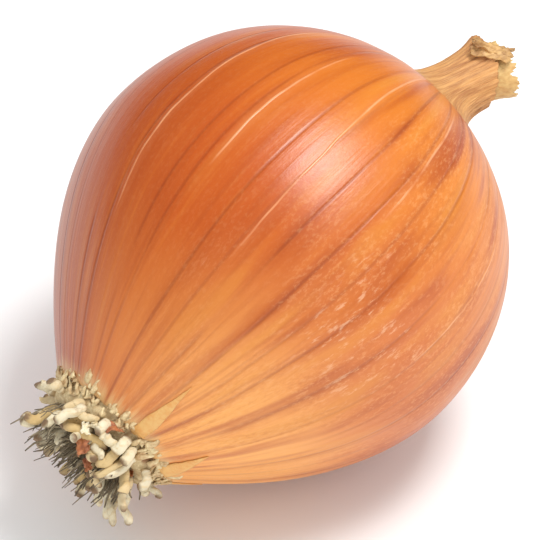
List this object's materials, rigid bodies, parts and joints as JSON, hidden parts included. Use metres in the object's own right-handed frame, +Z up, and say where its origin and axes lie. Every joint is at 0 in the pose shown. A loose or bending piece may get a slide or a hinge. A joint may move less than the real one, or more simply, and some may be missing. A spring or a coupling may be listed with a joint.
{
  "type": "onion",
  "caption": "Whole dry brown onion with papery skins, a withered neck and a trimmed root tuft, lying on a small flat spot.",
  "frame": {"origin": "centre of the small flat spot that the bulb rests on", "axes": "+Z up from the surface it rests on; +X level, from the root end towards the neck; the bulb's own axis lies in the XZ plane and rises 20 degrees from roots to neck"},
  "size_m": [0.105, 0.075, 0.0744],
  "materials": {
    "skin": "satin",
    "neck": "matte",
    "plate": "matte",
    "root": "matte"
  },
  "bodies": {
    "root": {"bulb": "skin", "dry_neck": "neck", "basal_plate": "plate", "root_01": "root", "root_02": "root", "root_03": "root", "root_04": "root", "root_05": "root", "root_06": "root", "root_07": "root", "root_08": "root", "root_09": "root", "root_10": "root", "root_11": "root", "root_12": "root", "root_13": "root", "root_14": "root", "root_15": "root", "root_16": "root", "root_17": "root", "root_18": "root", "root_19": "root", "root_20": "root", "root_21": "root", "root_22": "root", "root_23": "root", "root_24": "root", "root_25": "root", "root_26": "root", "root_27": "root", "root_28": "root", "root_29": "root", "root_30": "root", "root_31": "root", "root_32": "root", "root_33": "root", "root_34": "root", "root_35": "root", "root_36": "root", "root_37": "root", "root_38": "root", "root_39": "root"}
  },
  "joints": []
}
